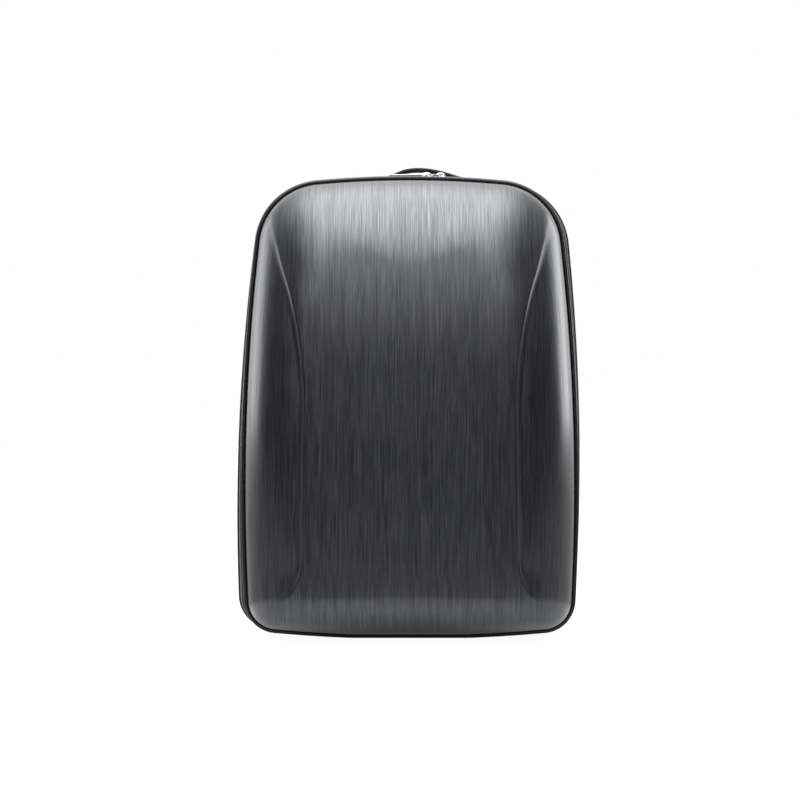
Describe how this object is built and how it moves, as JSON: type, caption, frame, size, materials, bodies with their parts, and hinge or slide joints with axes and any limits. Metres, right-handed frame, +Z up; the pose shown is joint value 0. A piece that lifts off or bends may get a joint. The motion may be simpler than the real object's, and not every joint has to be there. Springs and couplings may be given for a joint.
{
  "type": "hard shell backpack",
  "caption": "Standing backpack with a domed hard front half, zip round its middle, cloth rear half, grab handle and padded shoulder straps.",
  "frame": {"origin": "on the floor, under the middle of the whole backpack's box", "axes": "+Z up, the hard front faces -Y, +X to the right seen from the front"},
  "size_m": [0.3464, 0.2435, 0.4748],
  "materials": {
    "shell_film": "brushed dark grey film on hard plastic",
    "piping_black": "glossy black cord",
    "zip_tape": "woven tape",
    "zip_coil": "black nylon coil",
    "case_cloth": "coarse woven polyester",
    "pad_mesh": "black spacer mesh over foam",
    "webbing": "ribbed black webbing",
    "lock_plastic": "moulded black",
    "zip_metal": "polished silver"
  },
  "bodies": {
    "bag": {"front_shell": "shell_film", "front_piping": "piping_black", "rear_piping": "piping_black", "zip_tape_front": "zip_tape", "zip_tape_rear": "zip_tape", "bottom_hinge": "zip_tape", "zip_chain": "zip_coil", "rear_case": "case_cloth", "back_panel": "pad_mesh", "handle": "webbing", "shoulder_strap_left": "pad_mesh", "shoulder_strap_right": "pad_mesh", "lock_loop_left": "webbing", "lock_loop_right": "webbing", "strap_webbing_left": "webbing", "strap_webbing_right": "webbing", "ladder_lock_left": "lock_plastic", "ladder_lock_right": "lock_plastic", "zip_slider_left": "zip_metal", "zip_slider_right": "zip_metal"},
    "pull_left": {"zip_pull_left": "zip_metal"},
    "pull_right": {"zip_pull_right": "zip_metal"}
  },
  "joints": [
    {"name": "pull_left_hinge", "type": "hinge", "parent": "bag", "child": "pull_left", "pos_m": [0.01705, -0.0155, 0.46433], "axis": [0.0007, 0.9994, 0.0352], "range_deg": [0, 140]},
    {"name": "pull_right_hinge", "type": "hinge", "parent": "bag", "child": "pull_right", "pos_m": [0.0311, -0.01548, 0.4639], "axis": [0.5597, 0.8287, 0.0054], "range_deg": [0, 160]}
  ]
}
